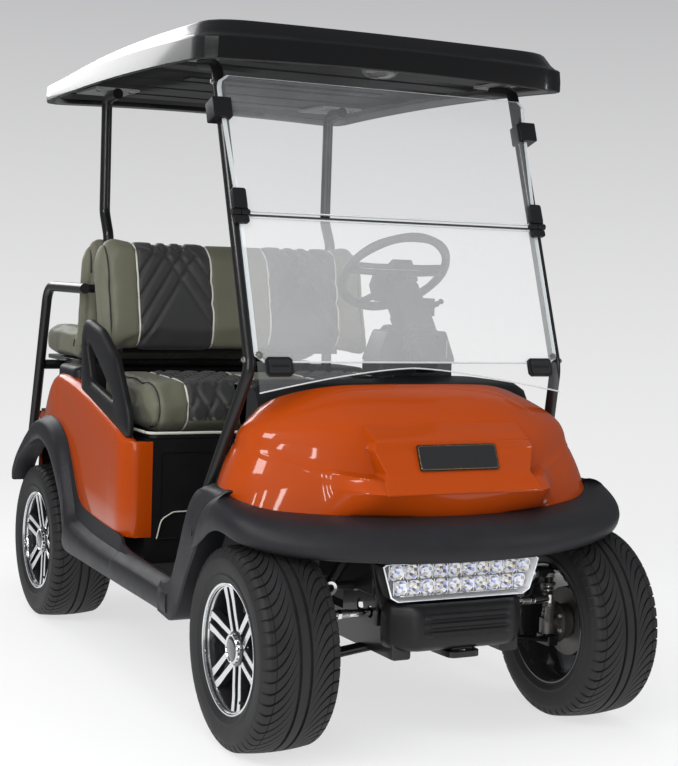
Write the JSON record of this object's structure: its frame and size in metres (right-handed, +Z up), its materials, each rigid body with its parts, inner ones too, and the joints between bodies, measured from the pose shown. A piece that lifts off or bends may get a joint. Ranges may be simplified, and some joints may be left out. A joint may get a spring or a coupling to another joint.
{
  "type": "golf cart",
  "caption": "Canopied golf cart with a front bench and a rear-facing flip bench, folding windshield, steered front wheels and a rear footplate.",
  "frame": {"origin": "on the ground, at the middle of the cart's overall length and width", "axes": "+Z up, +Y towards the rear, +X towards the cart's left; the front faces -Y"},
  "size_m": [1.208, 2.5358, 1.86],
  "materials": {
    "orange_paint": "gloss",
    "charcoal_plastic": "satin",
    "black_plastic": "satin",
    "black_paint": "satin",
    "roof_gloss": "gloss",
    "bright_metal": "satin",
    "lamp_chrome": "polished",
    "clear_pane": "clear",
    "floor_rubber": "matte",
    "floor_metal": "satin",
    "seat_vinyl": "satin",
    "red_lens": "gloss",
    "wheel_grip": "satin",
    "tyre_rubber": "matte",
    "wheel_metal": "gloss machined"
  },
  "bodies": {
    "cart_body": {"battery_pack": "black_plastic", "body_deck": "black_plastic", "chassis_frame": "black_paint", "dashboard": "black_plastic", "floor_mat": "floor_rubber", "floor_pan": "floor_metal", "front_bumper": "charcoal_plastic", "front_cowl": "orange_paint", "front_inner_panel": "charcoal_plastic", "front_plate": "black_plastic", "front_suspension": "bright_metal", "headlamp_housing": "lamp_chrome", "headlamp_lens": "clear_pane", "hip_restraints": "black_paint", "lower_guard": "charcoal_plastic", "pedals": "bright_metal", "rear_body": "orange_paint", "rear_seat_frame": "black_paint", "rear_suspension": "black_paint", "rocker_panels": "charcoal_plastic", "roof_liner": "black_plastic", "roof_skin": "roof_gloss", "roof_struts": "black_paint", "seat_back_shell": "black_plastic", "seat_backs": "seat_vinyl", "seat_base": "black_plastic", "steering_column": "black_plastic", "steering_rack": "bright_metal", "tail_lamps": "red_lens", "tow_bracket": "black_paint", "windshield_latches": "black_plastic", "windshield_lower": "clear_pane"},
    "knuckle_left_body": {"knuckle_left": "black_paint"},
    "knuckle_right_body": {"knuckle_right": "black_paint"},
    "wheel_front_left_body": {"wheel_front_left": "wheel_metal", "tyre_front_left": "tyre_rubber"},
    "wheel_front_right_body": {"wheel_front_right": "wheel_metal", "tyre_front_right": "tyre_rubber"},
    "wheel_rear_left_body": {"wheel_rear_left": "wheel_metal", "tyre_rear_left": "tyre_rubber"},
    "wheel_rear_right_body": {"wheel_rear_right": "wheel_metal", "tyre_rear_right": "tyre_rubber"},
    "tie_rod_body": {"tie_rods": "bright_metal"},
    "steering_wheel_body": {"steering_wheel": "wheel_grip"},
    "front_seat_body": {"front_cushion": "seat_vinyl", "front_seat_board": "black_paint"},
    "rear_seat_body": {"rear_cushion": "seat_vinyl", "rear_seat_board": "black_paint"},
    "windshield_upper_body": {"windshield_upper": "clear_pane", "windshield_hinges": "bright_metal"}
  },
  "joints": [
    {"name": "steer_left", "type": "hinge", "parent": "cart_body", "child": "knuckle_left_body", "pos_m": [0.39, -1.0025, 0.26], "axis": [0, 0, 1], "range_deg": [-27, 27]},
    {"name": "steer_right", "type": "hinge", "parent": "cart_body", "child": "knuckle_right_body", "pos_m": [-0.39, -1.0025, 0.26], "axis": [0, 0, 1], "range_deg": [-27.5, 27.5]},
    {"name": "spin_front_left", "type": "hinge", "parent": "knuckle_left_body", "child": "wheel_front_left_body", "pos_m": [0.475, -1.0025, 0.26], "axis": [1, 0, 0], "continuous": true},
    {"name": "spin_front_right", "type": "hinge", "parent": "knuckle_right_body", "child": "wheel_front_right_body", "pos_m": [-0.475, -1.0025, 0.26], "axis": [1, 0, 0], "continuous": true},
    {"name": "spin_rear_left", "type": "hinge", "parent": "cart_body", "child": "wheel_rear_left_body", "pos_m": [0.48, 0.6615, 0.26], "axis": [1, 0, 0], "continuous": true},
    {"name": "spin_rear_right", "type": "hinge", "parent": "cart_body", "child": "wheel_rear_right_body", "pos_m": [-0.48, 0.6615, 0.26], "axis": [1, 0, 0], "continuous": true},
    {"name": "tie_rod_slide", "type": "slide", "parent": "cart_body", "child": "tie_rod_body", "axis": [1, 0, 0], "range_m": [-0.027, 0.027]},
    {"name": "steering_wheel_turn", "type": "hinge", "parent": "cart_body", "child": "steering_wheel_body", "pos_m": [0.25, -0.3075, 1.208], "axis": [0, 0.6428, 0.766], "range_deg": [-330, 330]},
    {"name": "front_seat_lift", "type": "hinge", "parent": "cart_body", "child": "front_seat_body", "pos_m": [0, -0.1865, 0.6923], "axis": [1, 0, 0], "range_deg": [0, 50]},
    {"name": "rear_seat_flip", "type": "hinge", "parent": "cart_body", "child": "rear_seat_body", "pos_m": [0, 1.0435, 0.861], "axis": [-1, 0, 0], "range_deg": [0, 180]},
    {"name": "windshield_fold", "type": "hinge", "parent": "cart_body", "child": "windshield_upper_body", "pos_m": [0, -0.7685, 1.3537], "axis": [1, 0, 0], "range_deg": [0, 180]}
  ],
  "couplings": [
    {"joint": "steer_right", "follows": "steer_left", "ratio": 1},
    {"joint": "tie_rod_slide", "follows": "steer_left", "m_per_rad": 0.053},
    {"joint": "steering_wheel_turn", "follows": "steer_left", "ratio": 12}
  ]
}
